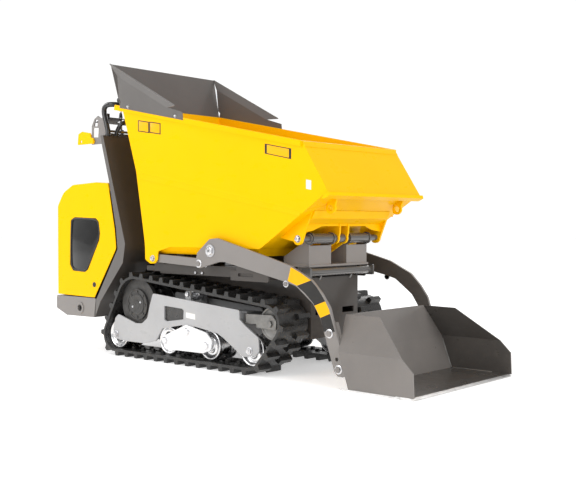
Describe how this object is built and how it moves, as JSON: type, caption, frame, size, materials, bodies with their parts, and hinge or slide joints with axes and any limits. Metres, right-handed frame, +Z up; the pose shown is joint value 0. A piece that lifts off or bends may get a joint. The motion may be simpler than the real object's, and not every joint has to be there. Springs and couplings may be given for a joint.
{
  "type": "tracked mini dumper",
  "caption": "Walk-behind power wheelbarrow on rubber tracks with a front-tipping skip, a spill guard and a self-loading shovel on two curved arms.",
  "frame": {"origin": "middle of the overall length and width, on the ground", "axes": "+X forwards to the shovel, +Y to the machine's left, +Z up"},
  "size_m": [2.252, 0.73, 1.419],
  "materials": {
    "yellow_paint": "gloss",
    "grey_paint": "satin",
    "dark_paint": "satin",
    "silver_paint": "satin",
    "white_paint": "satin",
    "track_rubber": "matt",
    "cast_grey": "matt",
    "bare_steel": "brushed",
    "rod_chrome": "polished",
    "gunmetal": "polished",
    "black_plastic": "matt",
    "black_tube": "gloss",
    "buffer_rubber": "matt"
  },
  "bodies": {
    "chassis": {"chassis_frame": "dark_paint", "front_hinge_brackets": "grey_paint", "front_cross_tube": "gunmetal", "rear_bumper": "grey_paint", "operator_shield": "dark_paint", "handlebar": "black_tube", "console_housing": "grey_paint", "control_panel": "black_plastic", "valve_block": "cast_grey", "engine": "cast_grey", "fuel_tank": "black_plastic", "hydraulic_tank": "black_plastic", "track_frame_right": "silver_paint", "track_frame_left": "silver_paint", "track_belt_right": "track_rubber", "track_belt_left": "track_rubber", "final_drive_right": "cast_grey", "final_drive_left": "cast_grey", "roller_axle_bolts": "bare_steel", "arm_pivots": "bare_steel", "skip_rest_pads": "buffer_rubber"},
    "sprocket_right": {"sprocket_right": "cast_grey"},
    "idler_right": {"idler_right": "cast_grey"},
    "rear_roller_right": {"rear_roller_right": "white_paint"},
    "bogie_roller_rear_right": {"bogie_roller_rear_right": "white_paint"},
    "bogie_roller_front_right": {"bogie_roller_front_right": "white_paint"},
    "front_roller_right": {"front_roller_right": "white_paint"},
    "top_roller_right": {"top_roller_right": "white_paint"},
    "idler_fork_right": {"idler_fork_right": "cast_grey"},
    "bogie_right": {"bogie_right": "white_paint"},
    "lift_barrel_right": {"lift_barrel_right": "grey_paint"},
    "lift_rod_right": {"lift_rod_right": "rod_chrome"},
    "travel_lever_right": {"travel_lever_right": "black_plastic"},
    "sprocket_left": {"sprocket_left": "cast_grey"},
    "idler_left": {"idler_left": "cast_grey"},
    "rear_roller_left": {"rear_roller_left": "white_paint"},
    "bogie_roller_rear_left": {"bogie_roller_rear_left": "white_paint"},
    "bogie_roller_front_left": {"bogie_roller_front_left": "white_paint"},
    "front_roller_left": {"front_roller_left": "white_paint"},
    "top_roller_left": {"top_roller_left": "white_paint"},
    "idler_fork_left": {"idler_fork_left": "cast_grey"},
    "bogie_left": {"bogie_left": "white_paint"},
    "lift_barrel_left": {"lift_barrel_left": "grey_paint"},
    "lift_rod_left": {"lift_rod_left": "rod_chrome"},
    "travel_lever_left": {"travel_lever_left": "black_plastic"},
    "skip": {"skip_body": "yellow_paint", "skip_pins": "gunmetal", "spill_guard": "grey_paint"},
    "tip_barrel": {"tip_barrel": "dark_paint"},
    "tip_rod": {"tip_rod": "rod_chrome"},
    "shovel": {"shovel_arm_right": "grey_paint", "shovel_arm_left": "grey_paint", "shovel_bucket": "grey_paint", "cutting_edge": "bare_steel"},
    "hood": {"engine_hood": "yellow_paint", "hood_grilles": "black_plastic"},
    "skip_lever": {"skip_lever": "black_plastic"},
    "shovel_lever": {"shovel_lever": "black_plastic"},
    "safety_bar": {"safety_bar": "yellow_paint"},
    "ignition_key": {"ignition_key": "black_plastic"}
  },
  "joints": [
    {"name": "skip_tip", "type": "hinge", "parent": "chassis", "child": "skip", "pos_m": [0.491, 0, 0.578], "axis": [0, 1, 0], "range_deg": [0, 80]},
    {"name": "tip_barrel_pivot", "type": "hinge", "parent": "chassis", "child": "tip_barrel", "pos_m": [-0.156, 0, 0.23], "axis": [0, -1, 0], "range_deg": [-1, 15.82]},
    {"name": "tip_rod_slide", "type": "slide", "parent": "tip_barrel", "child": "tip_rod", "axis": [0.8901, 0, 0.4557], "range_m": [-0.002, 0.15382]},
    {"name": "shovel_lift", "type": "hinge", "parent": "chassis", "child": "shovel", "pos_m": [0.05, 0, 0.522], "axis": [0, -1, 0], "range_deg": [0, 115]},
    {"name": "lift_barrel_pivot_right", "type": "hinge", "parent": "chassis", "child": "lift_barrel_right", "pos_m": [-0.366, 0, 0.479], "axis": [0, -1, 0], "range_deg": [-1, 3.78]},
    {"name": "lift_rod_slide_right", "type": "slide", "parent": "lift_barrel_right", "child": "lift_rod_right", "axis": [0.9989, 0, -0.0467], "range_m": [-0.002, 0.16037]},
    {"name": "lift_barrel_pivot_left", "type": "hinge", "parent": "chassis", "child": "lift_barrel_left", "pos_m": [-0.366, 0, 0.479], "axis": [0, -1, 0], "range_deg": [-1, 3.78]},
    {"name": "lift_rod_slide_left", "type": "slide", "parent": "lift_barrel_left", "child": "lift_rod_left", "axis": [0.9989, 0, -0.0467], "range_m": [-0.002, 0.16037]},
    {"name": "sprocket_spin_right", "type": "hinge", "parent": "chassis", "child": "sprocket_right", "pos_m": [-0.475, -0.265, 0.255], "axis": [0, 1, 0], "continuous": true},
    {"name": "idler_spin_right", "type": "hinge", "parent": "idler_fork_right", "child": "idler_right", "pos_m": [0.38, -0.265, 0.222], "axis": [0, 1, 0], "continuous": true},
    {"name": "rear_roller_spin_right", "type": "hinge", "parent": "chassis", "child": "rear_roller_right", "pos_m": [-0.625, -0.265, 0.102], "axis": [0, 1, 0], "continuous": true},
    {"name": "bogie_roller_rear_spin_right", "type": "hinge", "parent": "bogie_right", "child": "bogie_roller_rear_right", "pos_m": [-0.256, -0.265, 0.102], "axis": [0, 1, 0], "continuous": true},
    {"name": "bogie_roller_front_spin_right", "type": "hinge", "parent": "bogie_right", "child": "bogie_roller_front_right", "pos_m": [0.02, -0.265, 0.102], "axis": [0, 1, 0], "continuous": true},
    {"name": "front_roller_spin_right", "type": "hinge", "parent": "chassis", "child": "front_roller_right", "pos_m": [0.279, -0.265, 0.102], "axis": [0, 1, 0], "continuous": true},
    {"name": "top_roller_spin_right", "type": "hinge", "parent": "chassis", "child": "top_roller_right", "pos_m": [-0.13132, -0.265, 0.32001], "axis": [0, 1, 0], "continuous": true},
    {"name": "idler_tension_right", "type": "slide", "parent": "chassis", "child": "idler_fork_right", "axis": [1, 0, 0], "range_m": [-0.012, 0], "stiffness_N_per_m": 60000},
    {"name": "bogie_rock_right", "type": "hinge", "parent": "chassis", "child": "bogie_right", "pos_m": [-0.106, -0.265, 0.154], "axis": [0, 1, 0], "range_deg": [-1.2, 1.2]},
    {"name": "sprocket_spin_left", "type": "hinge", "parent": "chassis", "child": "sprocket_left", "pos_m": [-0.475, 0.265, 0.255], "axis": [0, 1, 0], "continuous": true},
    {"name": "idler_spin_left", "type": "hinge", "parent": "idler_fork_left", "child": "idler_left", "pos_m": [0.38, 0.265, 0.222], "axis": [0, 1, 0], "continuous": true},
    {"name": "rear_roller_spin_left", "type": "hinge", "parent": "chassis", "child": "rear_roller_left", "pos_m": [-0.625, 0.265, 0.102], "axis": [0, 1, 0], "continuous": true},
    {"name": "bogie_roller_rear_spin_left", "type": "hinge", "parent": "bogie_left", "child": "bogie_roller_rear_left", "pos_m": [-0.256, 0.265, 0.102], "axis": [0, 1, 0], "continuous": true},
    {"name": "bogie_roller_front_spin_left", "type": "hinge", "parent": "bogie_left", "child": "bogie_roller_front_left", "pos_m": [0.02, 0.265, 0.102], "axis": [0, 1, 0], "continuous": true},
    {"name": "front_roller_spin_left", "type": "hinge", "parent": "chassis", "child": "front_roller_left", "pos_m": [0.279, 0.265, 0.102], "axis": [0, 1, 0], "continuous": true},
    {"name": "top_roller_spin_left", "type": "hinge", "parent": "chassis", "child": "top_roller_left", "pos_m": [-0.13132, 0.265, 0.32001], "axis": [0, 1, 0], "continuous": true},
    {"name": "idler_tension_left", "type": "slide", "parent": "chassis", "child": "idler_fork_left", "axis": [1, 0, 0], "range_m": [-0.012, 0], "stiffness_N_per_m": 60000},
    {"name": "bogie_rock_left", "type": "hinge", "parent": "chassis", "child": "bogie_left", "pos_m": [-0.106, 0.265, 0.154], "axis": [0, 1, 0], "range_deg": [-1.2, 1.2]},
    {"name": "hood_open", "type": "hinge", "parent": "chassis", "child": "hood", "pos_m": [-1.122, 0, 0.274], "axis": [0, -1, 0], "range_deg": [0, 60]},
    {"name": "travel_lever_right_tilt", "type": "hinge", "parent": "chassis", "child": "travel_lever_right", "pos_m": [-0.811, -0.06, 1.11], "axis": [0, 1, 0], "range_deg": [-15, 15], "stiffness_Nm_per_rad": 20},
    {"name": "travel_lever_left_tilt", "type": "hinge", "parent": "chassis", "child": "travel_lever_left", "pos_m": [-0.811, 0.06, 1.11], "axis": [0, 1, 0], "range_deg": [-15, 15], "stiffness_Nm_per_rad": 20},
    {"name": "skip_lever_tilt", "type": "hinge", "parent": "chassis", "child": "skip_lever", "pos_m": [-0.811, -0.16, 1.11], "axis": [0, 1, 0], "range_deg": [-15, 15], "stiffness_Nm_per_rad": 20},
    {"name": "shovel_lever_tilt", "type": "hinge", "parent": "chassis", "child": "shovel_lever", "pos_m": [-0.811, 0.16, 1.11], "axis": [0, 1, 0], "range_deg": [-15, 15], "stiffness_Nm_per_rad": 20},
    {"name": "safety_bar_push", "type": "hinge", "parent": "chassis", "child": "safety_bar", "pos_m": [-0.874, 0, 1.06], "axis": [0, 1, 0], "range_deg": [0, 10], "stiffness_Nm_per_rad": 6},
    {"name": "ignition_turn", "type": "hinge", "parent": "chassis", "child": "ignition_key", "pos_m": [-0.826, -0.235, 1.176], "axis": [0, 0, -1], "range_deg": [0, 90]}
  ],
  "couplings": [
    {"joint": "tip_barrel_pivot", "follows": "skip_tip", "ratio": 0.18519},
    {"joint": "tip_rod_slide", "follows": "skip_tip", "m_per_rad": 0.10874},
    {"joint": "lift_barrel_pivot_right", "follows": "shovel_lift", "ratio": 0.024155},
    {"joint": "lift_rod_slide_right", "follows": "shovel_lift", "m_per_rad": 0.078905},
    {"joint": "lift_barrel_pivot_left", "follows": "shovel_lift", "ratio": 0.024155},
    {"joint": "lift_rod_slide_left", "follows": "shovel_lift", "m_per_rad": 0.078905},
    {"joint": "idler_spin_right", "follows": "sprocket_spin_right", "ratio": 1.6944},
    {"joint": "rear_roller_spin_right", "follows": "sprocket_spin_right", "ratio": 1.7429},
    {"joint": "bogie_roller_rear_spin_right", "follows": "sprocket_spin_right", "ratio": 1.8318},
    {"joint": "bogie_roller_front_spin_right", "follows": "sprocket_spin_right", "ratio": 1.8318},
    {"joint": "front_roller_spin_right", "follows": "sprocket_spin_right", "ratio": 1.7429},
    {"joint": "top_roller_spin_right", "follows": "sprocket_spin_right", "ratio": 5.1695},
    {"joint": "idler_spin_left", "follows": "sprocket_spin_left", "ratio": 1.6944},
    {"joint": "rear_roller_spin_left", "follows": "sprocket_spin_left", "ratio": 1.7429},
    {"joint": "bogie_roller_rear_spin_left", "follows": "sprocket_spin_left", "ratio": 1.8318},
    {"joint": "bogie_roller_front_spin_left", "follows": "sprocket_spin_left", "ratio": 1.8318},
    {"joint": "front_roller_spin_left", "follows": "sprocket_spin_left", "ratio": 1.7429},
    {"joint": "top_roller_spin_left", "follows": "sprocket_spin_left", "ratio": 5.1695}
  ]
}
